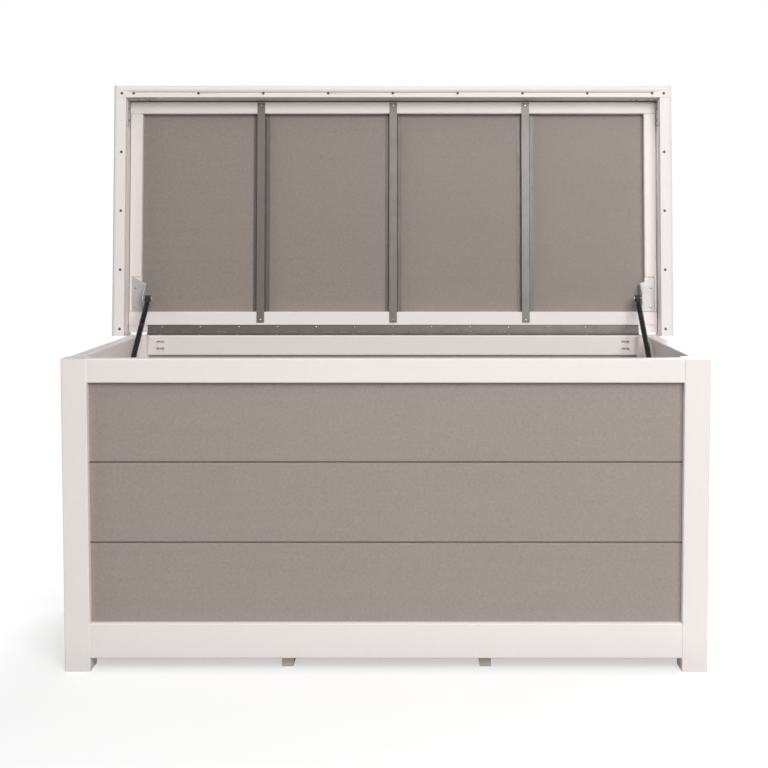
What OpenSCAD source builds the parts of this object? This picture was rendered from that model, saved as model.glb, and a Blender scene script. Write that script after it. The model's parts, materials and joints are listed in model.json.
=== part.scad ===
// Deck storage box: a framed chest with three-plank sides and a telescoping lid.
// The lid turns on a full-width continuous hinge and is held open by two gas struts.
// Millimetres, +Z up, +X to the right seen from the front, +Y to the rear.
// The origin is on the floor, at the middle of the footprint with the lid open.

/* [Chest] */
// Outside width over the corner posts
box_w = 1524; // [1400:4:1700]
// Outside depth over the corner posts
box_d = 670; // [640:2:720]
// Height of the corner posts
box_h = 745; // [720:1:780]
// Side of a square corner post
post = 60; // [56:1:64]
// Height of a top rail
top_rail_h = 57; // [50:1:60]
// Height of a bottom rail
bottom_rail_h = 84; // [70:1:90]
// Thickness of the rails
rail_t = 32; // [28:1:34]
// Set-back of the rails behind the post faces
rail_reveal = 3; // [2:1:5]
// Clear height under the bottom rails
rail_clear = 31; // [25:1:35]
// Planks in each side, one above the other
plank_count = 3; // [2:1:4]
// Thickness of a plank
plank_t = 12; // [10:1:14]
// Set-back of the planks behind the post faces
plank_setback = 18; // [15:1:20]
// Shadow gap between two planks
plank_gap = 3; // [2:0.5:4]

/* [Lid] */
// Opening angle of the lid from closed
lid_open = 95; // [90:1:100]
// Gap between the chest and the lid skirt
skirt_gap = 8; // [6:1:9]
// Thickness of the lid skirt boards
skirt_t = 36; // [32:1:38]
// Radius of the rounded outer edge of the skirt
skirt_round = 12; // [8:1:14]
// Gap between the skirt and the trim
trim_gap = 2; // [1:1:6]
// Drop of the skirt below the rim of the chest
skirt_drop = 50; // [40:1:60]
// Overhang of the cap boards beyond the skirt
cap_over = 5; // [3:1:8]
// Thickness of the cap boards
cap_t = 18; // [16:1:22]
// Width of the cap boards
cap_w = 90; // [80:5:120]
// Thickness of the lid panel
panel_t = 12; // [10:1:14]
// Width of the trim under the panel at the front and the sides
trim_w = 35; // [30:1:40]
// Width of the trim at the hinge side
trim_rear_w = 60; // [56:1:62]
// Thickness of the trim
trim_t = 20; // [18:1:22]
// Width of a stiffening rib over its flanges
rib_w = 48; // [44:1:52]
// Spacing of the three ribs
rib_pitch = 386; // [360:1:400]

/* [Hinge] */
// Length of one knuckle
knuckle_l = 25.5; // [24:0.5:30]
// Outer radius of the knuckles
knuckle_r = 4; // [3.5:0.5:4]
// Radius of the hinge pin
pin_r = 2; // [1.5:0.5:2]
// Spacing of the hinge screws
hinge_screw_pitch = 112; // [100:1:130]

/* [Struts] */
// Distance of the strut planes from the middle of the box
strut_x = 706; // [698:1:706]
// Radius of the strut tubes
tube_r = 7.5; // [7:0.5:8]
// Radius of the strut rods
rod_r = 4; // [3:0.5:4]

/* [Hidden] */
$fn = 48;

// colours
white_board = [0.91, 0.88, 0.86];
grey_board = [0.62, 0.58, 0.55];
bright_metal = [0.72, 0.72, 0.72];
black_paint = [0.12, 0.11, 0.10];
dark_timber = [0.45, 0.41, 0.38];

// chest
half_w = box_w / 2;
edge = 2;
rail_inner = half_w - rail_reveal - rail_t;
plank_z0 = rail_clear + bottom_rail_h;
plank_z1 = box_h - top_rail_h;
plank_pitch = (plank_z1 - plank_z0 + plank_gap) / plank_count;
groove = 6;
fit_gap = 0.2;
bearer_x = 237;
bearer_w = 28;
bearer_h = 60;
floor_t = 15;
floor_count = 5;
cleat = 20;

// hinge
hinge_y = box_d + 2;
hinge_z = box_h + knuckle_r;
leaf_t = 1.2;
leaf_w = 24;
hinge_l = 1430;
knuckles = 2 * floor(hinge_l / knuckle_l / 2);
run_fit = 0.08;
knuckle_gap = 0.4;

// lid, measured from the hinge axis with the lid closed: u forward, w up
panel_w0 = trim_t;
cap_w0 = trim_t + panel_t;
u_rear = 2.5;
u_front = hinge_y + skirt_gap;
skirt_x = half_w + skirt_gap;
trim_x = half_w + skirt_gap - trim_gap;
rim_flat = skirt_t - skirt_round;
panel_gap = 0.2;

// struts, measured from the hinge axis
lid_stud_u = 100;
lid_stud_w = -28;
chest_stud_y = 306;
chest_stud_z = 562;
strut_a0 = atan2(chest_stud_z - open_z(lid_stud_u, lid_stud_w),
                 chest_stud_y - open_y(lid_stud_u, lid_stud_w));
strut_l = norm([chest_stud_y - open_y(lid_stud_u, lid_stud_w),
                chest_stud_z - open_z(lid_stud_u, lid_stud_w)]);
tube_start = 22;
tube_l = 230;
bore_r = 6.5;
fitting_r = 9;
fitting_l = 16;
stud_r = 4;
bracket_t = 3;

// footprint: the rear edge of the open lid is the rearmost thing
lid_tip_u = u_front + skirt_t + cap_over;
lid_back_w = cap_w0 + cap_t;
front_y = -open_y(lid_tip_u, lid_back_w) / 2;

function open_y(u, w) = hinge_y - u * cos(lid_open) + w * sin(lid_open);
function open_z(u, w) = hinge_z + u * sin(lid_open) + w * cos(lid_open);
function chamfered(a0, a1, b0, b1, c) = [[a0 + c, b0], [a1 - c, b0], [a1, b0 + c],
  [a1, b1 - c], [a1 - c, b1], [a0 + c, b1], [a0, b1 - c], [a0, b0 + c]];

// ---- shared shapes ----

module bar_x(x, y, z, c = edge) {
  translate([x[0], 0, 0]) rotate([90, 0, 90]) linear_extrude(x[1] - x[0])
    polygon(chamfered(y[0], y[1], z[0], z[1], c));
}

module bar_y(x, y, z, c = edge) {
  translate([0, y[1], 0]) rotate([90, 0, 0]) linear_extrude(y[1] - y[0])
    polygon(chamfered(x[0], x[1], z[0], z[1], c));
}

module bar_z(x, y, z, c = edge) {
  translate([0, 0, z[0]]) linear_extrude(z[1] - z[0])
    polygon(chamfered(x[0], x[1], y[0], y[1], c));
}

module left_side() {
  mirror([1, 0, 0]) children();
}

module both_sides() {
  children();
  mirror([1, 0, 0]) children();
}

// front and rear of the chest
module rear_side() {
  translate([0, box_d, 0]) mirror([0, 1, 0]) children();
}

module on_floor() {
  translate([0, front_y, 0]) children();
}

// the lid is drawn closed, with Y = -u and Z = w, and turned open here
module on_lid() {
  on_floor() translate([0, hinge_y, hinge_z]) rotate([-lid_open, 0, 0]) children();
}

// a pan-head screw whose head sits on Z = 0 and whose shank points down
module screw(l, head_r = 4, shank_r = 1.9) {
  translate([0, 0, -l]) cylinder(h = l, r = shank_r);
  difference() {
    cylinder(h = 1.6, r = head_r);
    translate([-2.2, -0.5, 0.8]) cube([4.4, 1, 2]);
    translate([-0.5, -2.2, 0.8]) cube([1, 4.4, 2]);
  }
}

module screw_hole(l, shank_r = 1.9) {
  translate([0, 0, -l - 0.5]) cylinder(h = l + 1, r = shank_r + 0.05);
}

// ---- chest frame ----

// pocket screws near the ends of a rail, in slots open to its inner face
pocket_dz = 10;
pocket_deep = 8;
pocket_r = 3.6;

module pocket_places_x(z) {
  for (dz = [-pocket_dz, pocket_dz])
    translate([half_w - post - 22, rail_reveal + rail_t - pocket_deep, z + dz]) rotate([0, 90, 0]) children();
}

module pocket_places_y(z) {
  for (dz = [-pocket_dz, pocket_dz])
    translate([rail_inner + pocket_deep, post + 22, z + dz]) rotate([90, 0, 0]) children();
}

module screw_hole_forward() {
  cylinder(h = 40, r = 1.95);
}

module pocket_screw() {
  translate([0, 0, -1.6]) cylinder(h = 1.6, r = 3.2);
  cylinder(h = 38, r = 1.9);
}

module pocket_slot_x(z) {
  for (dz = [-pocket_dz, pocket_dz])
    translate([half_w - post - 44, rail_reveal + rail_t - pocket_deep - pocket_r, z + dz - pocket_r])
      cube([22, pocket_deep + pocket_r + 1, 2 * pocket_r]);
}

module pocket_slot_y(z) {
  for (dz = [-pocket_dz, pocket_dz]) translate([rail_inner - 1, post + 22, z + dz - pocket_r])
    cube([pocket_deep + pocket_r + 1, 22, 2 * pocket_r]);
}

top_z = box_h - top_rail_h / 2;
bottom_z = rail_clear + bottom_rail_h / 2;

module front_right_post() {
  difference() {
    bar_z([half_w - post, half_w], [0, post], [0, box_h]);
    translate([half_w - post - 1, plank_setback - fit_gap, plank_z0 - groove])
      cube([groove + 1 + fit_gap, plank_t + 2 * fit_gap, plank_z1 - plank_z0 + 2 * groove]);
    translate([half_w - plank_setback - plank_t - fit_gap, post - groove - fit_gap, plank_z0 - groove])
      cube([plank_t + 2 * fit_gap, groove + 1 + fit_gap, plank_z1 - plank_z0 + 2 * groove]);
    for (z = [top_z, bottom_z]) {
      pocket_places_x(z) screw_hole_forward();
      pocket_places_y(z) screw_hole_forward();
    }
  }
}

module rail_along_x(z, h) {
  x = half_w - post;
  difference() {
    bar_x([-x, x], [rail_reveal, rail_reveal + rail_t], [z - h / 2, z + h / 2]);
    both_sides() {
      pocket_slot_x(z);
      pocket_places_x(z) screw_hole_forward();
    }
    plank_slot_x();
  }
}

module plank_slot_x() {
  translate([-half_w, plank_setback - fit_gap, plank_z0 - groove - fit_gap])
    cube([box_w, plank_t + 2 * fit_gap, plank_z1 - plank_z0 + 2 * groove + 2 * fit_gap]);
}

module plank_slot_y() {
  translate([half_w - plank_setback - plank_t - fit_gap, 0, plank_z0 - groove - fit_gap])
    cube([plank_t + 2 * fit_gap, box_d, plank_z1 - plank_z0 + 2 * groove + 2 * fit_gap]);
}

module rail_along_y(z, h) {
  difference() {
    bar_y([rail_inner, half_w - rail_reveal], [post, box_d - post], [z - h / 2, z + h / 2]);
    pocket_slot_y(z);
    pocket_places_y(z) screw_hole_forward();
    rear_side() {
      pocket_slot_y(z);
      pocket_places_y(z) screw_hole_forward();
    }
    plank_slot_y();
  }
}

// planks: number 0 is the lowest; a thin tongue closes the gap above each but the top one
function plank_lo(i) = plank_z0 + i * plank_pitch - (i == 0 ? groove : 0);
function plank_hi(i) = plank_z0 + (i + 1) * plank_pitch - plank_gap + (i == plank_count - 1 ? groove : 0);

module plank_x(i) {
  x = half_w - post + groove;
  bar_x([-x, x], [plank_setback, plank_setback + plank_t], [plank_lo(i), plank_hi(i)], 1.5);
  if (i < plank_count - 1)
    translate([-x, plank_setback + plank_t / 2, plank_hi(i) - 2])
      cube([2 * x, plank_t / 3, plank_gap + 2 - fit_gap]);
}

module plank_y(i) {
  y0 = post - groove;
  x1 = half_w - plank_setback;
  bar_y([x1 - plank_t, x1], [y0, box_d - y0], [plank_lo(i), plank_hi(i)], 1.5);
  if (i < plank_count - 1)
    translate([x1 - plank_t * 5 / 6, y0, plank_hi(i) - 2])
      cube([plank_t / 3, box_d - 2 * y0, plank_gap + 2 - fit_gap]);
}

module corner_post_front_left() { color(white_board) on_floor() left_side() front_right_post(); }
module corner_post_front_right() { color(white_board) on_floor() front_right_post(); }
module corner_post_rear_left() { color(white_board) on_floor() left_side() rear_side() front_right_post(); }
module corner_post_rear_right() { color(white_board) on_floor() rear_side() front_right_post(); }

module top_rail_front() { color(white_board) on_floor() rail_along_x(top_z, top_rail_h); }
module top_rail_left() { color(white_board) on_floor() left_side() rail_along_y(top_z, top_rail_h); }
module top_rail_right() { color(white_board) on_floor() rail_along_y(top_z, top_rail_h); }

module top_rail_rear() {
  color(white_board) on_floor() difference() {
    rear_side() rail_along_x(top_z, top_rail_h);
    hinge_screw_places() chest_screw_place() screw_hole(18, 1.5);
  }
}

module bottom_rail_front() { color(white_board) on_floor() rail_along_x(bottom_z, bottom_rail_h); }
module bottom_rail_rear() { color(white_board) on_floor() rear_side() rail_along_x(bottom_z, bottom_rail_h); }
module bottom_rail_left() { color(white_board) on_floor() left_side() rail_along_y(bottom_z, bottom_rail_h); }
module bottom_rail_right() { color(white_board) on_floor() rail_along_y(bottom_z, bottom_rail_h); }

module front_plank_lower() { color(grey_board) on_floor() plank_x(0); }
module front_plank_middle() { color(grey_board) on_floor() for (i = [1 : plank_count - 2]) plank_x(i); }
module front_plank_upper() { color(grey_board) on_floor() plank_x(plank_count - 1); }
module rear_planks() { color(grey_board) on_floor() rear_side() for (i = [0 : plank_count - 1]) plank_x(i); }

module side_planks() {
  difference() {
    for (i = [0 : plank_count - 1]) plank_y(i);
    chest_bracket_screws() screw_hole(10);
  }
}

module left_planks() { color(grey_board) on_floor() left_side() side_planks(); }
module right_planks() { color(grey_board) on_floor() side_planks(); }

// the floor lies between the rails on cleats and on the two bearers
floor_y0 = rail_reveal + rail_t + 1;
floor_y1 = box_d - floor_y0;
floor_pitch = (floor_y1 - floor_y0 + plank_gap) / floor_count;

module floor_boards() {
  color(grey_board) on_floor() for (i = [0 : floor_count - 1]) {
    y = floor_y0 + i * floor_pitch;
    corner = i == 0 || i == floor_count - 1;
    x = corner ? half_w - post - 1 : rail_inner - 1;
    bar_x([-x, x], [y, y + floor_pitch - plank_gap], [bearer_h, bearer_h + floor_t], 1.5);
  }
}

module bearer() {
  bar_y([bearer_x - bearer_w / 2, bearer_x + bearer_w / 2], [floor_y0, floor_y1], [0, bearer_h]);
}

module floor_bearer_left() { color(dark_timber) on_floor() left_side() bearer(); }
module floor_bearer_right() { color(dark_timber) on_floor() bearer(); }

module floor_cleats() {
  z = [bearer_h - cleat, bearer_h];
  inner = bearer_x - bearer_w / 2 - 2;
  outer = bearer_x + bearer_w / 2 + 2;
  color(dark_timber) on_floor() {
    both_sides() bar_y([rail_inner - cleat, rail_inner], [post + 4, box_d - post - 4], z);
    for (rear = [0, 1]) translate([0, rear ? box_d : 0, 0]) mirror([0, rear, 0]) {
      y = [rail_reveal + rail_t, rail_reveal + rail_t + cleat];
      bar_x([-inner, inner], y, z);
      both_sides() bar_x([outer, half_w - post - 24], y, z);
    }
  }
}

module frame_screws() {
  color(bright_metal) on_floor() for (z = [top_z, bottom_z]) both_sides() {
    pocket_places_x(z) pocket_screw();
    pocket_places_y(z) pocket_screw();
    rear_side() {
      pocket_places_x(z) pocket_screw();
      pocket_places_y(z) pocket_screw();
    }
  }
}

// ---- hinge ----

module knuckle_row(first) {
  for (i = [first : 2 : knuckles - 1])
    translate([(i - knuckles / 2) * knuckle_l + knuckle_gap / 2, 0, 0]) rotate([0, 90, 0])
      children();
}

// a leaf lying forward of the axis, tangent to the bottom of its knuckles
module leaf_half(first) {
  l = knuckles * knuckle_l / 2;
  difference() {
    union() {
      translate([-l, -leaf_w, -knuckle_r]) cube([2 * l, leaf_w - knuckle_r - 0.5, leaf_t]);
      for (i = [first : 2 : knuckles - 1])
        translate([(i - knuckles / 2) * knuckle_l + knuckle_gap / 2, -knuckle_r - 1, -knuckle_r])
          cube([knuckle_l - knuckle_gap, knuckle_r + 1, leaf_t]);
      knuckle_row(first) cylinder(h = knuckle_l - knuckle_gap, r = knuckle_r);
    }
    translate([-l - 1, 0, 0]) rotate([0, 90, 0]) cylinder(h = 2 * l + 2, r = pin_r + run_fit);
  }
}

module hinge_screw_places() {
  for (i = [-6 : 6]) translate([i * hinge_screw_pitch, 0, 0]) children();
}

module chest_screw_place() {
  translate([0, hinge_y - leaf_w + 6, hinge_z - knuckle_r + leaf_t]) children();
}

module lid_screw_place() {
  translate([0, -leaf_w + 6, knuckle_r - leaf_t]) mirror([0, 0, 1]) children();
}

module hinge_leaf_chest() {
  color(bright_metal) on_floor() difference() {
    translate([0, hinge_y, hinge_z]) leaf_half(0);
    hinge_screw_places() chest_screw_place() screw_hole(8, 1.5);
  }
}

module hinge_leaf_lid() {
  color(bright_metal) on_lid() difference() {
    mirror([0, 0, 1]) leaf_half(1);
    hinge_screw_places() lid_screw_place() screw_hole(8, 1.5);
  }
}

module hinge_pin() {
  l = knuckles * knuckle_l / 2;
  color(bright_metal) on_floor() translate([-l, hinge_y, hinge_z]) rotate([0, 90, 0])
    cylinder(h = 2 * l, r = pin_r);
}

module hinge_screws_chest() {
  color(bright_metal) on_floor() hinge_screw_places() chest_screw_place() screw(16, 3, 1.5);
}

module hinge_screws_lid() {
  color(bright_metal) on_lid() hinge_screw_places() lid_screw_place() screw(16, 3, 1.5);
}

// ---- lid ----

// a board across the lid or along it, in lid coordinates u and w
module lid_bar_x(x, u, w, c = edge) { bar_x(x, [-u[1], -u[0]], w, c); }
module lid_bar_y(x, u, w, c = edge) { bar_y(x, [-u[1], -u[0]], w, c); }

panel_x = skirt_x - panel_gap;
panel_u1 = u_front - panel_gap;

// heads on the lower edges of the skirt
rim_pitch_x = 187;
rim_pitch_y = 170;

module rim_screw_places() {
  mirror([0, 0, 1]) {
    for (i = [-4 : 4])
      translate([i * rim_pitch_x, -u_front - rim_flat / 2, skirt_drop]) children();
    both_sides() for (i = [0 : 4])
      translate([skirt_x + rim_flat / 2, -u_front - rim_flat / 2 + i * rim_pitch_y, skirt_drop])
        children();
  }
}

module lid_panel() {
  color(grey_board) on_lid()
    lid_bar_x([-panel_x, panel_x], [u_rear, panel_u1], [panel_w0, panel_w0 + panel_t], 1);
}

// section of the skirt: depth outward from its inner face, and w, with the outer edge rounded
skirt_steps = 8;
function skirt_section() = concat(
  [[0, cap_w0], [0, -skirt_drop + 1], [1, -skirt_drop]],
  [for (i = [0 : skirt_steps]) let (a = 90 * i / skirt_steps)
    [rim_flat + skirt_round * sin(a), -skirt_drop + skirt_round * (1 - cos(a))]],
  [[skirt_t, cap_w0 - 1], [skirt_t - 1, cap_w0]]);

module lid_skirt_front() {
  x = skirt_x + rim_flat;
  color(white_board) on_lid() difference() {
    translate([-x, -u_front, 0]) rotate([90, 0, 90]) linear_extrude(2 * x)
      polygon([for (p = skirt_section()) [-p[0], p[1]]]);
    rim_screw_places() screw_hole(30);
    both_sides() brace_screw_places() screw_hole(14);
  }
}

// a side skirt wraps round the end of the front one with its rounded edge
skirt_rear_u = -8;
skirt_side_l = u_front + skirt_t - skirt_rear_u;

module skirt_side() {
  difference() {
    translate([skirt_x, -skirt_rear_u, 0]) rotate([90, 0, 0]) linear_extrude(skirt_side_l)
      polygon(skirt_section());
    translate([-1, -u_front - skirt_t - 1, -skirt_drop - 1])
      cube([skirt_x + rim_flat + 1.2, skirt_t + 1.2, skirt_drop + cap_w0 + 2]);
    rim_screw_places() screw_hole(30);
    brace_screw_places() screw_hole(14);
  }
}

module lid_skirt_left() { color(white_board) on_lid() left_side() skirt_side(); }
module lid_skirt_right() { color(white_board) on_lid() skirt_side(); }

cap_x = skirt_x + skirt_t + cap_over;
cap_u1 = u_front + skirt_t + cap_over;

module lid_cap_front() {
  color(white_board) on_lid()
    lid_bar_x([-cap_x, cap_x], [cap_u1 - cap_w, cap_u1], [cap_w0, cap_w0 + cap_t], 4);
}

module lid_cap_rear() {
  color(white_board) on_lid()
    lid_bar_x([-cap_x, cap_x], [u_rear, u_rear + cap_w], [cap_w0, cap_w0 + cap_t], 4);
}

module cap_side() {
  lid_bar_y([cap_x - cap_w, cap_x], [u_rear + cap_w + 0.2, cap_u1 - cap_w - 0.2],
            [cap_w0, cap_w0 + cap_t], 4);
}

module lid_cap_left() { color(white_board) on_lid() left_side() cap_side(); }
module lid_cap_right() { color(white_board) on_lid() cap_side(); }

trim_u1 = u_front - trim_gap - 1;

module lid_trim_front() {
  color(white_board) on_lid() difference() {
    lid_bar_x([-trim_x, trim_x], [trim_u1 - trim_w, trim_u1], [0, trim_t]);
    rib_screw_places() screw_hole(8, 1.5);
  }
}

// the hinge leaf lies in a rebate along the rear edge
module lid_trim_rear() {
  color(white_board) on_lid() difference() {
    lid_bar_x([-trim_x, trim_x], [u_rear, u_rear + trim_rear_w], [0, trim_t]);
    translate([-trim_x - 1, -leaf_w - 0.5, -1]) cube([2 * trim_x + 2, leaf_w + 2, knuckle_r + 1]);
    hinge_screw_places() lid_screw_place() screw_hole(16, 1.5);
    rib_screw_places() screw_hole(8, 1.5);
  }
}

module trim_side() {
  difference() {
    lid_bar_y([trim_x - trim_w, trim_x], [u_rear + trim_rear_w + 0.2, trim_u1 - trim_w - 0.2],
              [0, trim_t]);
    lid_bracket_screws() screw_hole(14);
    translate([trim_x - trim_w - 1, -foot_u - bracket_half_l - 0.5, -1])
      cube([bracket_foot_x - trim_x + trim_w + 1.5, 2 * bracket_half_l + 1, foot_sink + 1]);
  }
}

module lid_trim_left() { color(white_board) on_lid() left_side() trim_side(); }
module lid_trim_right() { color(white_board) on_lid() trim_side(); }

// a rib is a bent hat section: flanges on the panel, crown over the trims
rib_crown_w = 22;
rib_sheet = 1.6;
rib_u0 = u_rear + trim_rear_w + 1;
rib_u1 = trim_u1 - trim_w - 1;
rib_over = 33;

module rib() {
  y0 = -(rib_u1 + rib_over);
  y1 = -(rib_u0 - rib_over);
  difference() {
    union() {
      translate([0, -rib_u0, 0]) rotate([90, 0, 0]) linear_extrude(rib_u1 - rib_u0)
        polygon([[-rib_w / 2, trim_t], [-rib_w / 2, trim_t - rib_sheet],
                 [-rib_crown_w / 2 - 3, trim_t - rib_sheet], [-rib_crown_w / 2, -rib_sheet],
                 [rib_crown_w / 2, -rib_sheet], [rib_crown_w / 2 + 3, trim_t - rib_sheet],
                 [rib_w / 2, trim_t - rib_sheet], [rib_w / 2, trim_t],
                 [rib_crown_w / 2 + 1.6, trim_t], [rib_crown_w / 2 - 1.4, 0],
                 [-rib_crown_w / 2 + 1.4, 0], [-rib_crown_w / 2 - 1.6, trim_t]]);
      translate([-rib_crown_w / 2, y0, -rib_sheet]) cube([rib_crown_w, y1 - y0, rib_sheet]);
    }
    rib_screw_all() screw_hole(8, 1.5);
  }
}

// one rib: a screw through each end of its crown
module rib_screw_all() {
  mirror([0, 0, 1]) {
    for (u = [rib_u0 - rib_over + 8, rib_u1 + rib_over - 8]) translate([0, -u, rib_sheet]) children();
  }
}

module rib_screw_places() {
  for (i = [-1 : 1]) translate([i * rib_pitch, 0, 0]) rib_screw_all() children();
}

module lid_rib_left() { color(bright_metal) on_lid() translate([-rib_pitch, 0, 0]) rib(); }
module lid_rib_centre() { color(bright_metal) on_lid() rib(); }
module lid_rib_right() { color(bright_metal) on_lid() translate([rib_pitch, 0, 0]) rib(); }

// bent straps across the two front corners of the skirt
brace_l = 78;
brace_h = 30;
brace_t = 2.5;
brace_w0 = -12;

module brace_screw_places() {
  for (d = [28, 62]) {
    translate([skirt_x - brace_t, -u_front + d, brace_w0 - brace_h / 2 + 5]) rotate([0, -90, 0]) children();
    translate([skirt_x - d, -u_front + brace_t, brace_w0 - brace_h / 2 + 5]) rotate([-90, 0, 0]) children();
  }
}

module corner_braces() {
  color(bright_metal) on_lid() both_sides() difference() {
    translate([0, 0, brace_w0 - brace_h + 5]) linear_extrude(brace_h)
      polygon([[skirt_x, -u_front], [skirt_x, -u_front + brace_l],
               [skirt_x - brace_t, -u_front + brace_l], [skirt_x - brace_t, -u_front + brace_t],
               [skirt_x - brace_l, -u_front + brace_t], [skirt_x - brace_l, -u_front]]);
    brace_screw_places() screw_hole(8);
  }
}

module lid_rim_screws() {
  color(bright_metal) on_lid() {
    rim_screw_places() screw(28);
    both_sides() brace_screw_places() screw(12, 3.5);
  }
}

module rib_screws() {
  color(bright_metal) on_lid() rib_screw_places() screw(7, 3.5, 1.5);
}

// ---- strut brackets ----

module chest_bracket_screws() {
  x = half_w - plank_setback - plank_t - bracket_t;
  for (dz = [-24, 24])
    translate([x, chest_stud_y, chest_stud_z + dz]) rotate([0, -90, 0]) children();
}

module chest_bracket() {
  x1 = half_w - plank_setback - plank_t;
  x0 = strut_x + fitting_l / 2 + 0.5;
  difference() {
    bar_x([x1 - bracket_t, x1], [chest_stud_y - 16, chest_stud_y + 16],
          [chest_stud_z - 36, chest_stud_z + 36], 6);
    chest_bracket_screws() screw_hole(8);
  }
  translate([x0, chest_stud_y, chest_stud_z]) rotate([0, 90, 0])
    cylinder(h = x1 - bracket_t - x0, r = stud_r);
  translate([x0 + 3, chest_stud_y, chest_stud_z]) rotate([0, 90, 0]) cylinder(h = 3, r = 7, $fn = 6);
}

module chest_strut_bracket_left() { color(bright_metal) on_floor() left_side() chest_bracket(); }
module chest_strut_bracket_right() { color(bright_metal) on_floor() chest_bracket(); }

module bracket_screws_chest() {
  color(bright_metal) on_floor() both_sides() chest_bracket_screws() screw(10);
}

// an angle bracket: a foot on the side trim and a wing that carries the stud
// the foot is let into the trim, so that it clears the chest when the lid is down
bracket_foot_x = trim_x - 8;
bracket_half_l = 50;
foot_u = lid_stud_u + 14;
foot_t = 2;
foot_sink = 4;
wing_x = strut_x + fitting_l / 2 + 4;
wing_far = lid_stud_u - foot_u - bracket_half_l + 20;
wing_near = lid_stud_u - foot_u + bracket_half_l;

module lid_bracket_screws() {
  for (du = [-38, 18])
    translate([bracket_foot_x - 10, -foot_u - du, foot_sink - foot_t]) mirror([0, 0, 1]) children();
}

module lid_bracket() {
  difference() {
    union() {
      translate([0, -foot_u, foot_sink - foot_t]) linear_extrude(foot_t)
        polygon([[wing_x, 20 - bracket_half_l], [bracket_foot_x, -bracket_half_l],
                 [bracket_foot_x, bracket_half_l], [wing_x, bracket_half_l]]);
      translate([wing_x, -lid_stud_u, 0]) rotate([90, 0, 90]) linear_extrude(bracket_t)
        polygon([[wing_far, foot_sink], [wing_near, foot_sink],
                 [wing_near, -2], [10, lid_stud_w - 9],
                 [-10, lid_stud_w - 9], [wing_far, -2]]);
    }
    lid_bracket_screws() screw_hole(8);
  }
  x0 = strut_x - fitting_l / 2 - 0.5;
  translate([x0, -lid_stud_u, lid_stud_w]) rotate([0, 90, 0]) cylinder(h = wing_x - x0, r = stud_r);
  translate([x0 - 2, -lid_stud_u, lid_stud_w]) rotate([0, 90, 0]) cylinder(h = 2, r = 6.5);
}

module lid_strut_bracket_left() { color(bright_metal) on_lid() left_side() lid_bracket(); }
module lid_strut_bracket_right() { color(bright_metal) on_lid() lid_bracket(); }

module bracket_screws_lid() {
  color(bright_metal) on_lid() both_sides() lid_bracket_screws() screw(12);
}

// ---- struts, drawn from the lid stud along +Z of their own frame ----

module on_strut() {
  on_floor() translate([strut_x, open_y(lid_stud_u, lid_stud_w), open_z(lid_stud_u, lid_stud_w)])
    rotate([strut_a0 - 90, 0, 0]) children();
}

module eye(bore) {
  difference() {
    translate([-fitting_l / 2, 0, 0]) rotate([0, 90, 0]) cylinder(h = fitting_l, r = fitting_r);
    translate([-fitting_l, 0, 0]) rotate([0, 90, 0]) cylinder(h = 2 * fitting_l, r = bore);
  }
}

module strut_tube() {
  difference() {
    translate([0, 0, tube_start]) cylinder(h = tube_l, r = tube_r);
    translate([0, 0, tube_start + 6]) cylinder(h = tube_l - 12, r = bore_r);
    translate([0, 0, tube_start + tube_l - 7]) cylinder(h = 8, r = rod_r + run_fit);
  }
}

module tube_end_fitting() {
  eye(stud_r + run_fit);
  difference() {
    translate([0, 0, 6]) cylinder(h = tube_start - 6, r = 6);
    translate([-fitting_l, 0, 0]) rotate([0, 90, 0]) cylinder(h = 2 * fitting_l, r = fitting_r - 0.5);
  }
}

rod_start = 226;
rod_end = strut_l - 20;

module strut_rod() {
  translate([0, 0, rod_start]) cylinder(h = 12, r = bore_r - run_fit);
  translate([0, 0, rod_start + 11]) cylinder(h = rod_end - rod_start - 11, r = rod_r);
}

module rod_end_fitting() {
  translate([0, 0, strut_l]) eye(2);
  difference() {
    translate([0, 0, rod_end]) cylinder(h = strut_l - rod_end - 6, r = 6);
    translate([-fitting_l, 0, strut_l]) rotate([0, 90, 0])
      cylinder(h = 2 * fitting_l, r = fitting_r - 0.5);
  }
}

module strut_tube_left() { color(black_paint) left_side() on_strut() strut_tube(); }
module strut_tube_right() { color(black_paint) on_strut() strut_tube(); }
module tube_end_fitting_left() { color(black_paint) left_side() on_strut() tube_end_fitting(); }
module tube_end_fitting_right() { color(black_paint) on_strut() tube_end_fitting(); }
module strut_rod_left() { color(bright_metal) left_side() on_strut() strut_rod(); }
module strut_rod_right() { color(bright_metal) on_strut() strut_rod(); }
module rod_end_fitting_left() { color(black_paint) left_side() on_strut() rod_end_fitting(); }
module rod_end_fitting_right() { color(black_paint) on_strut() rod_end_fitting(); }

corner_post_front_left();
corner_post_front_right();
corner_post_rear_left();
corner_post_rear_right();
top_rail_front();
top_rail_rear();
top_rail_left();
top_rail_right();
bottom_rail_front();
bottom_rail_rear();
bottom_rail_left();
bottom_rail_right();
front_plank_lower();
front_plank_middle();
front_plank_upper();
rear_planks();
left_planks();
right_planks();
floor_boards();
floor_bearer_left();
floor_bearer_right();
floor_cleats();
frame_screws();
hinge_leaf_chest();
hinge_pin();
hinge_screws_chest();
chest_strut_bracket_left();
chest_strut_bracket_right();
bracket_screws_chest();
lid_panel();
lid_skirt_front();
lid_skirt_left();
lid_skirt_right();
lid_cap_front();
lid_cap_rear();
lid_cap_left();
lid_cap_right();
lid_trim_front();
lid_trim_rear();
lid_trim_left();
lid_trim_right();
lid_rib_left();
lid_rib_centre();
lid_rib_right();
corner_braces();
lid_rim_screws();
rib_screws();
hinge_leaf_lid();
hinge_screws_lid();
lid_strut_bracket_left();
lid_strut_bracket_right();
bracket_screws_lid();
strut_tube_left();
strut_tube_right();
tube_end_fitting_left();
tube_end_fitting_right();
strut_rod_left();
strut_rod_right();
rod_end_fitting_left();
rod_end_fitting_right();
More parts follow.
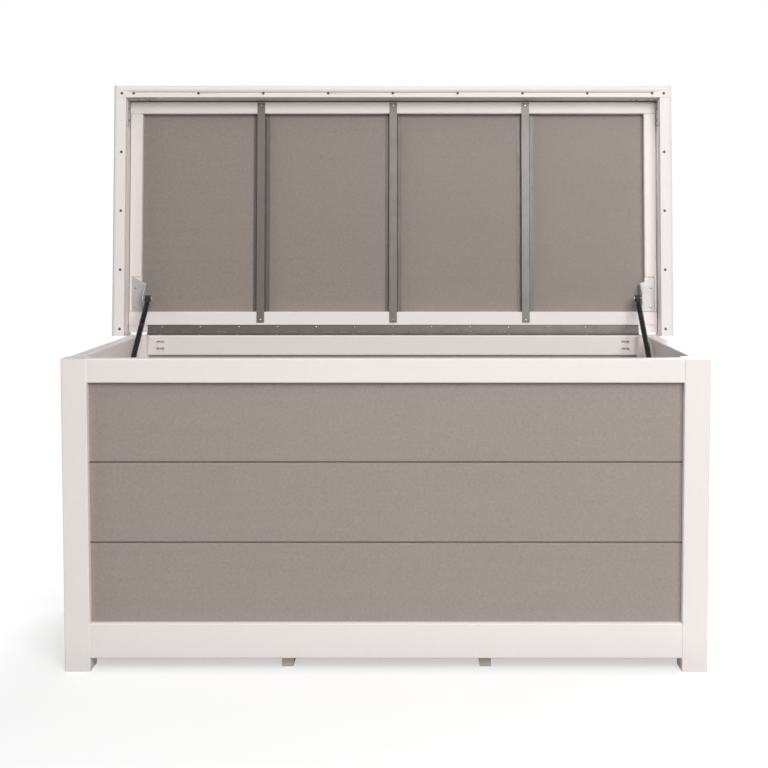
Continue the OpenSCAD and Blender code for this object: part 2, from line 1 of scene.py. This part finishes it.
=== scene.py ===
"""Deck storage box, its lid held open on two gas struts.

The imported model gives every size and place. This script rounds the long edges of the boards,
makes the screws, and gives each board, fitting and strut its finish, then sets up a plain studio.
"""

import json
import math

import bmesh
import bpy
import numpy as np
from mathutils import Euler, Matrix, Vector


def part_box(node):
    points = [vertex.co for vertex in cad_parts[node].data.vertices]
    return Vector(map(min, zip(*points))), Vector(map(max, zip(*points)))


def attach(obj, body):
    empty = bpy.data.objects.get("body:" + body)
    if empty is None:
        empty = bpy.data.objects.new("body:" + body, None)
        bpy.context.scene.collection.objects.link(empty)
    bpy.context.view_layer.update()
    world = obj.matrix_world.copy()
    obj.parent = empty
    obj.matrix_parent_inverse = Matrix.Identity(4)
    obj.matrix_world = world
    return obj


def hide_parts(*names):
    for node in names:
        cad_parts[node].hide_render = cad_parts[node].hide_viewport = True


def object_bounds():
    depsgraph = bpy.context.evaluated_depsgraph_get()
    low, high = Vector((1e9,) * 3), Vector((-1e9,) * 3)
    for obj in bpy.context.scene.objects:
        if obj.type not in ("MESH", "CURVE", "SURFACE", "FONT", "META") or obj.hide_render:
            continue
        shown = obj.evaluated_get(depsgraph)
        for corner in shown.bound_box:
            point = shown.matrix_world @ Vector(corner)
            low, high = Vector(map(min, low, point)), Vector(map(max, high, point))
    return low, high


bl_info = {
    "name": "Deck storage box",
    "version": (1, 0, 0),
    "blender": (4, 5, 0),
    "location": "3D Viewport > Sidebar > Deck box",
    "description": "Finishes a framed deck storage box and sets it in a plain studio",
    "category": "Object",
}

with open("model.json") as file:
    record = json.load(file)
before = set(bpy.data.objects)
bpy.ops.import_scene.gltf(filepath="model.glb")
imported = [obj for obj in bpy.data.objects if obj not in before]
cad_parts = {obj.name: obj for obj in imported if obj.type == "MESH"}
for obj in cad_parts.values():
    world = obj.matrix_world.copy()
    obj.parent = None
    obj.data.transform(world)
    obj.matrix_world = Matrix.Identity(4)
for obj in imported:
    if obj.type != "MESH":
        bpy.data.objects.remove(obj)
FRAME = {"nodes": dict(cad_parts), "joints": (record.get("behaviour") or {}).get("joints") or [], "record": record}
NODES = FRAME["nodes"]
CAD_LOW, CAD_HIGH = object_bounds()

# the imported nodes, grouped by what they are made from
POSTS = [f"corner_post_{end}_{side}" for end in ("front", "rear") for side in ("left", "right")]
SIDES = ("front", "rear", "left", "right")
CHEST_FRAME = POSTS + [f"{level}_rail_{side}" for level in ("top", "bottom") for side in SIDES]
LID_FRAME = (
    [f"lid_skirt_{side}" for side in ("front", "left", "right")]
    + [f"lid_cap_{side}" for side in SIDES]
    + [f"lid_trim_{side}" for side in SIDES]
)
PLANKS = [
    "front_plank_lower",
    "front_plank_middle",
    "front_plank_upper",
    "rear_planks",
    "left_planks",
    "right_planks",
    "floor_boards",
]
BEARERS = ["floor_bearer_left", "floor_bearer_right", "floor_cleats"]
RIBS = ["lid_rib_left", "lid_rib_centre", "lid_rib_right"]
HINGE = ["hinge_leaf_chest", "hinge_leaf_lid", "hinge_pin"]
BRACKETS = [f"{part}_strut_bracket_{side}" for part in ("chest", "lid") for side in ("left", "right")]
# head radius of each group of screws
SCREWS = {
    "frame_screws": 0.0032,
    "lid_rim_screws": 0.004,
    "rib_screws": 0.0035,
    "hinge_screws_chest": 0.003,
    "hinge_screws_lid": 0.003,
    "bracket_screws_chest": 0.004,
    "bracket_screws_lid": 0.004,
}
HEAD_HEIGHT = 0.0016
# how far up the boards the dust from the ground reaches
DUST_HEIGHT = 0.09
# how deep into the lid the ribs fade into painted shade
RIB_DEPTH = 0.016
# shanks behind the larger heads and the smaller ones
THICK_SHANK, THIN_SHANK, LARGE_HEAD = 0.0019, 0.0015, 0.0037

# soft lamps of the studio: where each one hangs, its power, and the side of its square
LAMPS = {
    "key": ((1.4, -4.0, 2.8), 180.0, 2.8),
    "side": ((-4.2, -1.6, 3.2), 60.0, 2.6),
    "far_side": ((4.4, 1.2, 2.6), 60.0, 2.6),
    "over": ((0.0, -1.2, 4.6), 22.0, 3.2),
    "rear": ((0.8, 4.4, 3.0), 280.0, 2.8),
}


def body_of(node):
    """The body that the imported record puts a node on."""
    bodies = FRAME["record"]["behaviour"]["bodies"]
    return next(body for body, members in bodies.items() if node in members)


# ---------------------------------------------------------------- settings


def colour(label, about, value):
    return bpy.props.FloatVectorProperty(
        name=label, description=about, default=value, size=3, min=0, max=1, subtype="COLOR"
    )


def length(label, about, value):
    return bpy.props.FloatProperty(
        name=label, description=about, default=value, min=0, precision=4, unit="LENGTH"
    )


class BoardSettings(bpy.types.PropertyGroup):
    white: colour("White boards", "Frame of the chest and the lid", (0.88, 0.818, 0.790))
    plank: colour("Grey planks", "Planks of the chest", (0.350, 0.301, 0.275))
    panel: colour("Lid panel", "Sheet that fills the lid", (0.300, 0.253, 0.227))
    bearer: colour("Bearers", "Boards under the floor", (0.60, 0.54, 0.50))
    round_over: length("Round-over", "Radius that softens the long edges", 0.0007)
    speckle: bpy.props.FloatProperty(
        name="Speckle", description="Strength of the fine grain", default=1.0, min=0, max=2
    )


class MetalSettings(bpy.types.PropertyGroup):
    rib: colour("Ribs", "Folded aluminium of the lid ribs", (0.205, 0.185, 0.173))
    hinge: colour("Hinge", "Leaves and knuckles", (0.185, 0.166, 0.152))
    bright: colour("Fittings", "Brackets, braces and screws", (0.58, 0.56, 0.55))
    dark: colour("Rim screws", "Dull screws in the rim of the lid", (0.15, 0.13, 0.12))
    tube: colour("Strut tubes", "Black enamel", (0.006, 0.0055, 0.005))
    slot_width: length("Recess width", "Width of the cross in a screw head", 0.0009)


class StudioSettings(bpy.types.PropertyGroup):
    distance: length("Camera distance", "From the front of the chest", 2.777)
    height: length("Camera height", "Above the floor", 1.040)
    aside: length("Camera offset", "To the right of the middle", 0.090)
    focal: bpy.props.FloatProperty(
        name="Focal length", description="Lens in millimetres", default=55.8, min=20, max=200
    )
    pitch: bpy.props.FloatProperty(
        name="Pitch", description="Tilt of the camera below level", default=math.radians(2.76),
        subtype="ANGLE",
    )
    shift: bpy.props.FloatVectorProperty(
        name="Shift", description="Lens shift across and up", default=(-0.0521, -0.122), size=2
    )
    floor: colour("Floor", "Pale studio floor", (0.95, 0.95, 0.95))
    reach: length("Floor reach", "Where the floor has faded into the backdrop", 3.0)
    cover: bpy.props.FloatProperty(
        name="Floor cover", description="How far the floor hides the backdrop",
        default=0.52, min=0, max=1,
    )


# ---------------------------------------------------------------- node trees


class Wire:
    """A number in a node tree. Arithmetic on it adds Math nodes."""

    def __init__(self, sheet, socket):
        self.sheet = sheet
        self.socket = socket

    def math(self, operation, *others):
        return self.sheet.add(
            self.sheet.math_kind, {"operation": operation}, dict(enumerate((self, *others)))
        )

    def __add__(self, other):
        return self.math("ADD", other)

    def __sub__(self, other):
        return self.math("SUBTRACT", other)

    def __rsub__(self, other):
        return self.sheet.add(self.sheet.math_kind, {"operation": "SUBTRACT"}, {0: other, 1: self})

    def __mul__(self, other):
        return self.math("MULTIPLY", other)

    def __truediv__(self, other):
        return self.math("DIVIDE", other)

    def __gt__(self, other):
        return self.math("GREATER_THAN", other)

    __radd__ = __add__
    __rmul__ = __mul__

    def clamp(self):
        return self.math("MINIMUM", 1.0).math("MAXIMUM", 0.0)


class Sheet:
    """A node tree with one way to add a node."""

    math_kind = "ShaderNodeMath"

    def __init__(self, tree):
        self.tree = tree

    def node(self, kind, settings=None, inputs=None):
        made = self.tree.nodes.new(kind)
        for key, value in (settings or {}).items():
            setattr(made, key, value)
        for key, value in (inputs or {}).items():
            if isinstance(value, Wire):
                self.tree.links.new(value.socket, made.inputs[key])
            else:
                made.inputs[key].default_value = value
        return made

    def add(self, kind, settings=None, inputs=None, out=0):
        return Wire(self, self.node(kind, settings, inputs).outputs[out])

    def mix(self, factor, first, second):
        """A colour between two colours; a plain colour has three numbers."""
        wide = [c if isinstance(c, Wire) else (*c, 1.0) for c in (first, second)]
        return self.add(
            "ShaderNodeMix", {"data_type": "RGBA"}, {0: factor, 6: wide[0], 7: wide[1]}, out=2
        )

    def noise(self, place, scale, detail=2.0, roughness=0.5, distortion=0.0):
        return self.add(
            "ShaderNodeTexNoise",
            None,
            {
                "Vector": place,
                "Scale": scale,
                "Detail": detail,
                "Roughness": roughness,
                "Distortion": distortion,
            },
        )

    def stretched(self, place, scale):
        """The same place with each axis multiplied, to draw a pattern out along a board."""
        return self.add("ShaderNodeMapping", {"vector_type": "POINT"}, {0: place, 3: scale})


class Finish(Sheet):
    """A material with one Principled shader, read by Object coordinates."""

    def __init__(self, name, fixed):
        self.material = bpy.data.materials.new(name)
        self.material.use_nodes = True
        super().__init__(self.material.node_tree)
        self.tree.nodes.clear()
        self.shader = self.node("ShaderNodeBsdfPrincipled", None, fixed)
        out = self.node("ShaderNodeOutputMaterial")
        self.tree.links.new(self.shader.outputs[0], out.inputs[0])
        self.place = self.add("ShaderNodeTexCoord", out="Object")

    def across(self):
        """X, Y and Z of the place as separate numbers."""
        split = self.node("ShaderNodeSeparateXYZ", None, {0: self.place})
        return [Wire(self, socket) for socket in split.outputs]

    def drive(self, name, wire):
        self.tree.links.new(wire.socket, self.shader.inputs[name])

    def bump(self, height, depth, strength=1.0):
        raised = self.add(
            "ShaderNodeBump", None, {"Strength": strength, "Distance": depth, "Height": height}, 0
        )
        self.drive("Normal", raised)


def board_finish(name, base, rough, speckle, stretch):
    """Extruded board: fine pebbled skin, faint streaks along its length, dust near the ground."""
    sheet = Finish(name, {"Specular IOR Level": 0.42})
    pebble = sheet.noise(sheet.place, 150.0, 3.0, 0.7)
    fleck = sheet.noise(sheet.place, 700.0, 2.0, 0.6)
    streak = sheet.noise(sheet.stretched(sheet.place, stretch), 60.0, 3.0, 0.55)
    cloud = sheet.noise(sheet.place, 3.1, 4.0, 0.55, 0.4)
    z = sheet.across()[2]
    dust = (1.0 - z / DUST_HEIGHT).clamp() * (cloud * 0.8 + 0.2)
    tone = (pebble - 0.5) * 1.1 + (fleck - 0.5) * 0.8 + (streak - 0.5) * 0.16
    shade = ((tone * speckle) + (cloud - 0.5) * 0.12 + 0.5).clamp()
    spread = min(0.20, 1.0 / max(base) - 1.0)
    darker = [c * (1.0 - spread) for c in base]
    lighter = [c * (1.0 + spread) for c in base]
    skin = sheet.mix(shade, darker, lighter)
    sheet.drive("Base Color", sheet.mix(dust * 0.28, skin, [c * 0.62 for c in base]))
    sheet.drive("Roughness", (rough + (cloud - 0.5) * 0.16 + (pebble - 0.5) * 0.20).clamp())
    sheet.bump(pebble * 0.7 + fleck * 0.2 + streak * 0.1, 0.00035, 0.55)
    return sheet.material


def depth_in_lid(sheet, depth):
    """0 at the lower face of the lid's trims, rising to 1 at a depth into the lid: the mask of the ribs' painted
    shade.
    """
    hinge = next(joint for joint in FRAME["joints"] if joint["name"] == "lid_hinge")
    opened = math.radians(hinge["range_deg"][1])
    inward = Vector((0.0, math.sin(opened), math.cos(opened)))
    start = inward.dot(Vector(hinge["pos_m"]))
    along = sheet.add(
        "ShaderNodeVectorMath", {"operation": "DOT_PRODUCT"}, {0: sheet.place, 1: inward}, out=1
    )
    return ((along - start) / depth).clamp()


def brushed_finish(name, base, rough, stretch, stain=0.25, painted_shade=0.0, metallic=1.0):
    """Bare or galvanised metal with a drawn grain, dull patches and fine scratches.

    Stain is the strength of the patches, and the next argument that of the painted shade which darkens the metal
    away from the lid's face.
    """
    sheet = Finish(name, {"Metallic": metallic})
    grain = sheet.noise(sheet.stretched(sheet.place, stretch), 400.0, 4.0, 0.65)
    patch = sheet.noise(sheet.place, 24.0, 4.0, 0.6, 0.8)
    scratch = sheet.noise(sheet.stretched(sheet.place, (1.0, 0.12, 0.12)), 900.0, 2.0) > 0.66
    dull = ((patch - 0.45) * 2.2).clamp()
    tint = sheet.mix(dull * stain, base, [c * 0.62 for c in base])
    if painted_shade:
        # painted shade: the ribs' flanges, deeper in the lid than the crown, are darkened as if in shadow
        low = depth_in_lid(sheet, RIB_DEPTH) * painted_shade
        tint = sheet.mix(low, tint, [c * 0.25 for c in base])
    sheet.drive("Base Color", sheet.mix(scratch * 0.25, tint, [min(1.0, c * 1.25) for c in base]))
    sheet.drive("Roughness", (rough + (grain - 0.5) * 0.22 + dull * 0.12).clamp())
    sheet.bump(grain * 0.8 + patch * 0.2, 0.0001, 0.35)
    return sheet.material


def enamel_finish(name, base, rough, coat=0.5):
    """Painted or moulded black with a slight ripple and patches of dust."""
    sheet = Finish(name, {"Coat Weight": coat, "Coat Roughness": 0.12})
    ripple = sheet.noise(sheet.place, 260.0, 2.0)
    dust = ((sheet.noise(sheet.place, 38.0, 5.0, 0.7) - 0.52) * 3.0).clamp()
    sheet.drive("Base Color", sheet.mix(dust * 0.22, base, (0.16, 0.15, 0.14)))
    sheet.drive("Roughness", (rough + ripple * 0.08 + dust * 0.25).clamp())
    sheet.bump(ripple, 0.0001, 0.25)
    return sheet.material


def chrome_finish(name):
    """Polished rod with fine turned rings and a trace of oil."""
    sheet = Finish(name, {"Metallic": 1.0})
    rings = sheet.noise(sheet.place, 1200.0, 2.0)
    oil = ((sheet.noise(sheet.place, 55.0, 3.0) - 0.5) * 2.5).clamp()
    sheet.drive("Base Color", sheet.mix(oil * 0.3, (0.78, 0.78, 0.78), (0.52, 0.49, 0.44)))
    sheet.drive("Roughness", (0.09 + rings * 0.05 + oil * 0.14).clamp())
    sheet.bump(rings, 0.00004, 0.2)
    return sheet.material


# ---------------------------------------------------------------- meshes


def dress(obj, material):
    obj.data.materials.clear()
    obj.data.materials.append(material)


def softened(node, radius, material):
    """A board with its long edges rounded over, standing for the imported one."""
    mesh = NODES[node].data.copy()
    shape = bmesh.new()
    shape.from_mesh(mesh)
    bmesh.ops.remove_doubles(shape, verts=shape.verts, dist=1e-6)
    bmesh.ops.dissolve_limit(
        shape, angle_limit=math.radians(0.5), verts=shape.verts, edges=shape.edges
    )
    long_edges = [
        edge
        for edge in shape.edges
        if len(edge.link_faces) == 2
        and edge.calc_length() > 0.02
        and edge.is_convex
        and math.radians(25) < edge.calc_face_angle() < math.radians(65)
    ]
    bmesh.ops.bevel(
        shape, geom=long_edges, offset=radius, segments=2, profile=0.5, affect="EDGES",
        clamp_overlap=True,
    )
    bmesh.ops.triangulate(shape, faces=[f for f in shape.faces if len(f.verts) > 4])
    shape.to_mesh(mesh)
    shape.free()
    piece = bpy.data.objects.new(f"{node}_finished", mesh)
    bpy.context.scene.collection.objects.link(piece)
    dress(piece, material)
    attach(piece, body_of(node))
    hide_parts(node)
    return piece


def islands(mesh):
    """The separate solids of a mesh, each as an array of its points."""
    shape = bmesh.new()
    shape.from_mesh(mesh)
    bmesh.ops.remove_doubles(shape, verts=shape.verts, dist=1e-6)
    seen, found = set(), []
    for start in shape.verts:
        if start.index in seen:
            continue
        group, queue = [], [start]
        seen.add(start.index)
        while queue:
            vert = queue.pop()
            group.append(vert.co[:])
            for edge in vert.link_edges:
                other = edge.other_vert(vert)
                if other.index not in seen:
                    seen.add(other.index)
                    queue.append(other)
        found.append(np.array(group))
    shape.free()
    return found


def screw_seat(points):
    """Where a screw's head sits, which way it faces, and the length of its shank."""
    middle = points.mean(axis=0)
    centred = points - (points.min(axis=0) + points.max(axis=0)) / 2
    _, _, axes = np.linalg.svd(points - middle, full_matrices=False)
    spans = [np.ptp(points @ axis) for axis in axes]
    axis = axes[int(np.argmax(spans))]
    along = points @ axis
    radial = np.linalg.norm(points - middle - np.outer((points - middle) @ axis, axis), axis=1)
    wide = along[radial > radial.max() * 0.9]
    if wide.mean() < (along.min() + along.max()) / 2:
        axis, along, wide = -axis, -along, -wide
    rim = points[radial > radial.max() * 0.9]
    seat = rim.mean(axis=0) + axis * (wide.min() - (rim @ axis).mean())
    return seat, axis, wide.min() - along.min()


def screw_tree():
    """Pan-head screws on points that carry the way each one faces."""
    tree = bpy.data.node_groups.new("pan_head_screws", "GeometryNodeTree")
    face = tree.interface
    face.new_socket("Seats", in_out="INPUT", socket_type="NodeSocketGeometry")
    sizes = {
        "Head radius": 0.004,
        "Head height": HEAD_HEIGHT,
        "Shank radius": THICK_SHANK,
        "Shank length": 0.02,
        "Recess width": 0.0009,
    }
    for name, value in sizes.items():
        socket = face.new_socket(name, in_out="INPUT", socket_type="NodeSocketFloat")
        socket.default_value = value
    face.new_socket("Metal", in_out="INPUT", socket_type="NodeSocketMaterial")
    face.new_socket("Screws", in_out="OUTPUT", socket_type="NodeSocketGeometry")
    sheet = Sheet(tree)
    given = sheet.node("NodeGroupInput")
    read = {name: Wire(sheet, given.outputs[name]) for name in (*sizes, "Seats", "Metal")}

    def xyz(x, y, z):
        return sheet.add("ShaderNodeCombineXYZ", None, {0: x, 1: y, 2: z})

    def moved(shape, x=0.0, y=0.0, z=0.0, size=None):
        inputs = {"Geometry": shape, "Translation": xyz(x, y, z)}
        if size is not None:
            inputs["Scale"] = size
        return sheet.add("GeometryNodeTransform", None, inputs)

    head = sheet.add(
        "GeometryNodeMeshUVSphere", None, {"Segments": 20, "Rings": 10, "Radius": read["Head radius"]}
    )
    flat = read["Head height"] / read["Head radius"]
    head = moved(head, size=xyz(1.0, 1.0, flat))
    bar = read["Head radius"] * 1.15
    sunk = read["Head height"] * 0.95
    for across, along in ((bar, read["Recess width"]), (read["Recess width"], bar)):
        block = xyz(across, along, read["Head height"])
        cutter = sheet.add("GeometryNodeMeshCube", None, {"Size": block})
        cut = sheet.node("GeometryNodeMeshBoolean", {"operation": "DIFFERENCE"})
        tree.links.new(head.socket, cut.inputs["Mesh 1"])
        tree.links.new(moved(cutter, z=sunk).socket, cut.inputs["Mesh 2"])
        head = Wire(sheet, cut.outputs["Mesh"])
    shank = sheet.add(
        "GeometryNodeMeshCylinder",
        None,
        {"Vertices": 12, "Radius": read["Shank radius"], "Depth": read["Shank length"]},
    )
    shank = moved(shank, z=read["Shank length"] * -0.5)
    both = sheet.node("GeometryNodeJoinGeometry")
    for part in (head, shank):
        tree.links.new(part.socket, both.inputs[0])
    facing = sheet.add(
        "GeometryNodeInputNamedAttribute", {"data_type": "FLOAT_VECTOR"}, {"Name": "facing"}
    )
    turn = sheet.add("FunctionNodeAlignRotationToVector", {"axis": "Z"}, {"Vector": facing})
    placed = sheet.add(
        "GeometryNodeInstanceOnPoints",
        None,
        {"Points": read["Seats"], "Instance": Wire(sheet, both.outputs[0]), "Rotation": turn},
    )
    real = sheet.add("GeometryNodeRealizeInstances", None, {"Geometry": placed})
    coated = sheet.add(
        "GeometryNodeSetMaterial", None, {"Geometry": real, "Material": read["Metal"]}
    )
    sheet.node("NodeGroupOutput", None, {"Screws": coated})
    return tree


def grown(node, mesh, tree, values, material):
    """Run a node tree on a mesh and keep the result as a plain piece that replaces a node."""
    seed = bpy.data.objects.new(f"{node}_seats", mesh)
    bpy.context.scene.collection.objects.link(seed)
    modifier = seed.modifiers.new("grow", "NODES")
    modifier.node_group = tree
    for item in tree.interface.items_tree:
        if item.in_out == "INPUT" and item.name in values:
            modifier[item.identifier] = values[item.name]
    ready = seed.evaluated_get(bpy.context.evaluated_depsgraph_get())
    made = bpy.data.meshes.new_from_object(ready)
    bpy.data.objects.remove(seed)
    if not made.polygons:
        raise RuntimeError(f"no faces were made for {node}")
    piece = bpy.data.objects.new(f"{node}_finished", made)
    bpy.context.scene.collection.objects.link(piece)
    dress(piece, material)
    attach(piece, body_of(node))
    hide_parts(node)
    return piece


# ---------------------------------------------------------------- operators


def lengthwise(node):
    """How a streak pattern is drawn out along a board: small along it, full across it."""
    low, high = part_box(node)
    span = high - low
    longest = max(range(3), key=lambda i: span[i])
    return tuple(0.03 if i == longest else 1.0 for i in range(3))


def shared_board(kind, base, rough, speckle, node):
    """One board finish for each run of the grain."""
    stretch = lengthwise(node)
    run = "xyz"[stretch.index(min(stretch))]
    name = f"{kind}_along_{run}"
    found = bpy.data.materials.get(name)
    return found or board_finish(name, tuple(base), rough, speckle, stretch)


class DECKBOX_OT_frame(bpy.types.Operator):
    """Round and finish the white boards of the chest and the lid"""

    bl_idname = "deckbox.frame"
    bl_label = "White frame"

    def execute(self, context):
        boards = context.scene.deckbox_boards
        for node in CHEST_FRAME + LID_FRAME:
            finish = shared_board("white_board", boards.white, 0.50, boards.speckle * 0.16, node)
            softened(node, boards.round_over, finish)
        return {"FINISHED"}


class DECKBOX_OT_planks(bpy.types.Operator):
    """Round and finish the grey planks, the floor and the bearers"""

    bl_idname = "deckbox.planks"
    bl_label = "Planks and floor"

    def execute(self, context):
        boards = context.scene.deckbox_boards
        for node in PLANKS:
            finish = shared_board("grey_plank", boards.plank, 0.58, boards.speckle, node)
            softened(node, boards.round_over, finish)
        for node in BEARERS:
            finish = shared_board("bearer", boards.bearer, 0.72, boards.speckle, node)
            softened(node, boards.round_over, finish)
        return {"FINISHED"}


class DECKBOX_OT_panel(bpy.types.Operator):
    """Finish the grey sheet that fills the lid"""

    bl_idname = "deckbox.panel"
    bl_label = "Lid panel"

    def execute(self, context):
        boards = context.scene.deckbox_boards
        finish = shared_board("lid_panel", boards.panel, 0.56, boards.speckle, "lid_panel")
        dress(NODES["lid_panel"], finish)
        return {"FINISHED"}


class DECKBOX_OT_metalwork(bpy.types.Operator):
    """Finish the ribs, the hinge, the brackets and the corner braces"""

    bl_idname = "deckbox.metalwork"
    bl_label = "Metalwork"

    def execute(self, context):
        metal = context.scene.deckbox_metal
        # ribs: the 0.25 is the strength of the painted shade on their flanges
        rib = brushed_finish(
            "rib_aluminium", tuple(metal.rib), 0.42, (1.0, 0.03, 0.03), 0.35, 0.25, metallic=0.4
        )
        hinge = brushed_finish(
            "hinge_steel", tuple(metal.hinge), 0.42, (0.02, 1.0, 1.0), 0.5, metallic=0.4
        )
        bright = brushed_finish(
            "bracket_steel", tuple(metal.bright), 0.45, (1.0, 0.1, 1.0), 0.3, metallic=0.3
        )
        for nodes, finish in ((RIBS, rib), (HINGE, hinge), (BRACKETS + ["corner_braces"], bright)):
            for node in nodes:
                dress(NODES[node], finish)
        return {"FINISHED"}


class DECKBOX_OT_screws(bpy.types.Operator):
    """Make every screw with a domed head and a cross recess"""

    bl_idname = "deckbox.screws"
    bl_label = "Screws"

    def execute(self, context):
        metal = context.scene.deckbox_metal
        steel = brushed_finish("screw_steel", tuple(metal.bright), 0.26, (1.0, 1.0, 1.0), 0.2)
        dark = brushed_finish("rim_screw_steel", tuple(metal.dark), 0.45, (1.0, 1.0, 1.0), 0.4)
        tree = screw_tree()
        for node, radius in SCREWS.items():
            seats = [screw_seat(points) for points in islands(NODES[node].data)]
            mesh = bpy.data.meshes.new(f"{node}_seats")
            mesh.from_pydata([tuple(seat) for seat, _, _ in seats], [], [])
            facing = mesh.attributes.new("facing", "FLOAT_VECTOR", "POINT")
            facing.data.foreach_set("vector", np.concatenate([axis for _, axis, _ in seats]))
            values = {
                "Head radius": radius,
                "Head height": HEAD_HEIGHT,
                "Shank radius": THICK_SHANK if radius > LARGE_HEAD else THIN_SHANK,
                "Shank length": float(min(shank for _, _, shank in seats)),
                "Recess width": metal.slot_width,
                "Metal": dark if node == "lid_rim_screws" else steel,
            }
            grown(node, mesh, tree, values, values["Metal"])
        return {"FINISHED"}


class DECKBOX_OT_struts(bpy.types.Operator):
    """Finish the gas struts: enamelled tubes, polished rods and moulded ends"""

    bl_idname = "deckbox.struts"
    bl_label = "Gas struts"

    def execute(self, context):
        metal = context.scene.deckbox_metal
        tube = enamel_finish("strut_enamel", tuple(metal.tube), 0.22, 0.2)
        end = enamel_finish("socket_moulding", (0.02, 0.019, 0.018), 0.5, 0.0)
        rod = chrome_finish("rod_chrome")
        for side in ("left", "right"):
            dress(NODES[f"strut_tube_{side}"], tube)
            dress(NODES[f"strut_rod_{side}"], rod)
            dress(NODES[f"tube_end_fitting_{side}"], end)
            dress(NODES[f"rod_end_fitting_{side}"], end)
        return {"FINISHED"}


class DECKBOX_OT_stage(bpy.types.Operator):
    """Set up a pale floor, soft light and the camera"""

    bl_idname = "deckbox.stage"
    bl_label = "Studio"
    # light of the sky at the horizon, and what it gains overhead
    sky_low = 0.06
    sky_rise = 0.12
    floor_half = 30.0

    def execute(self, context):
        studio = context.scene.deckbox_studio
        scene = context.scene
        scene.view_settings.view_transform = "Standard"
        self.floor(scene, studio)
        self.light(scene)
        self.camera(scene, studio)
        return {"FINISHED"}

    def floor(self, scene, studio):
        mesh = bpy.data.meshes.new("studio_floor")
        r = self.floor_half
        mesh.from_pydata([(-r, -r, 0), (r, -r, 0), (r, r, 0), (-r, r, 0)], [], [(0, 1, 2, 3)])
        floor = bpy.data.objects.new("studio_floor", mesh)
        scene.collection.objects.link(floor)
        glow = {"Specular IOR Level": 0.1, "Emission Color": (1, 1, 1, 1), "Emission Strength": 0.10}
        sheet = Finish("studio_floor", glow)
        mottle = sheet.noise(sheet.place, 5.0, 3.0)
        base = tuple(studio.floor)
        reach = sheet.add("ShaderNodeVectorMath", {"operation": "LENGTH"}, {0: sheet.place}, out=1)
        sheet.drive("Alpha", ((studio.reach - reach) / (studio.reach * 0.6)).clamp() * studio.cover)
        sheet.drive("Base Color", sheet.mix(mottle, [c * 0.99 for c in base], base))
        sheet.drive("Roughness", 0.9 - mottle * 0.05)
        dress(floor, sheet.material)

    def light(self, scene):
        world = bpy.data.worlds.new("studio_world")
        world.use_nodes = True
        sheet = Sheet(world.node_tree)
        world.node_tree.nodes.clear()
        split = sheet.node(
            "ShaderNodeSeparateXYZ", None, {0: sheet.add("ShaderNodeTexCoord", out="Generated")}
        )
        height = Wire(sheet, split.outputs[2]).clamp()
        seen = sheet.add("ShaderNodeLightPath", out="Is Camera Ray")
        soft = height * self.sky_rise + self.sky_low
        strength = soft + seen * (1.0 - soft)
        sky = sheet.add("ShaderNodeBackground", None, {"Color": (1, 1, 1, 1), "Strength": strength})
        sheet.node("ShaderNodeOutputWorld", None, {"Surface": sky})
        scene.world = world
        middle = (CAD_LOW + CAD_HIGH) / 2
        for name, (place, power, size) in LAMPS.items():
            lamp = bpy.data.lights.new(f"studio_{name}", "AREA")
            lamp.energy = power
            lamp.shape = "SQUARE"
            lamp.size = size
            obj = bpy.data.objects.new(f"studio_{name}", lamp)
            scene.collection.objects.link(obj)
            obj.location = place
            obj.rotation_euler = (middle - Vector(place)).to_track_quat("-Z", "Y").to_euler()

    def camera(self, scene, studio):
        camera = bpy.data.cameras.new("studio_camera")
        camera.sensor_width = 36.0
        camera.lens = studio.focal
        camera.shift_x, camera.shift_y = studio.shift
        camera.clip_end = 100.0
        obj = bpy.data.objects.new("studio_camera", camera)
        scene.collection.objects.link(obj)
        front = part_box("corner_post_front_left")[0].y
        obj.location = (studio.aside, front - studio.distance, studio.height)
        obj.rotation_euler = Euler((math.pi / 2 - studio.pitch, 0.0, 0.0))
        scene.camera = obj


class DECKBOX_PT_sidebar(bpy.types.Panel):
    """Lists the steps and the settings of the deck box"""

    bl_idname = "DECKBOX_PT_sidebar"
    bl_label = "Deck box"
    bl_space_type = "VIEW_3D"
    bl_region_type = "UI"
    bl_category = "Deck box"

    def draw(self, context):
        layout = self.layout
        for step in STEPS:
            layout.operator(step.bl_idname)
        scene = context.scene
        for group in (scene.deckbox_boards, scene.deckbox_metal, scene.deckbox_studio):
            box = layout.box()
            for key in group.__annotations__:
                box.prop(group, key)


STEPS = (
    DECKBOX_OT_frame,
    DECKBOX_OT_planks,
    DECKBOX_OT_panel,
    DECKBOX_OT_metalwork,
    DECKBOX_OT_screws,
    DECKBOX_OT_struts,
    DECKBOX_OT_stage,
)
GROUPS = {
    "deckbox_boards": BoardSettings,
    "deckbox_metal": MetalSettings,
    "deckbox_studio": StudioSettings,
}


def register():
    for cls in (*GROUPS.values(), *STEPS, DECKBOX_PT_sidebar):
        bpy.utils.register_class(cls)
    for name, cls in GROUPS.items():
        setattr(bpy.types.Scene, name, bpy.props.PointerProperty(type=cls))


def unregister():
    for name in GROUPS:
        delattr(bpy.types.Scene, name)
    for cls in reversed((*GROUPS.values(), *STEPS, DECKBOX_PT_sidebar)):
        bpy.utils.unregister_class(cls)


def main():
    register()
    for step in STEPS:
        group, name = step.bl_idname.split(".")
        getattr(getattr(bpy.ops, group), name)()


if __name__ == "__main__":
    main()
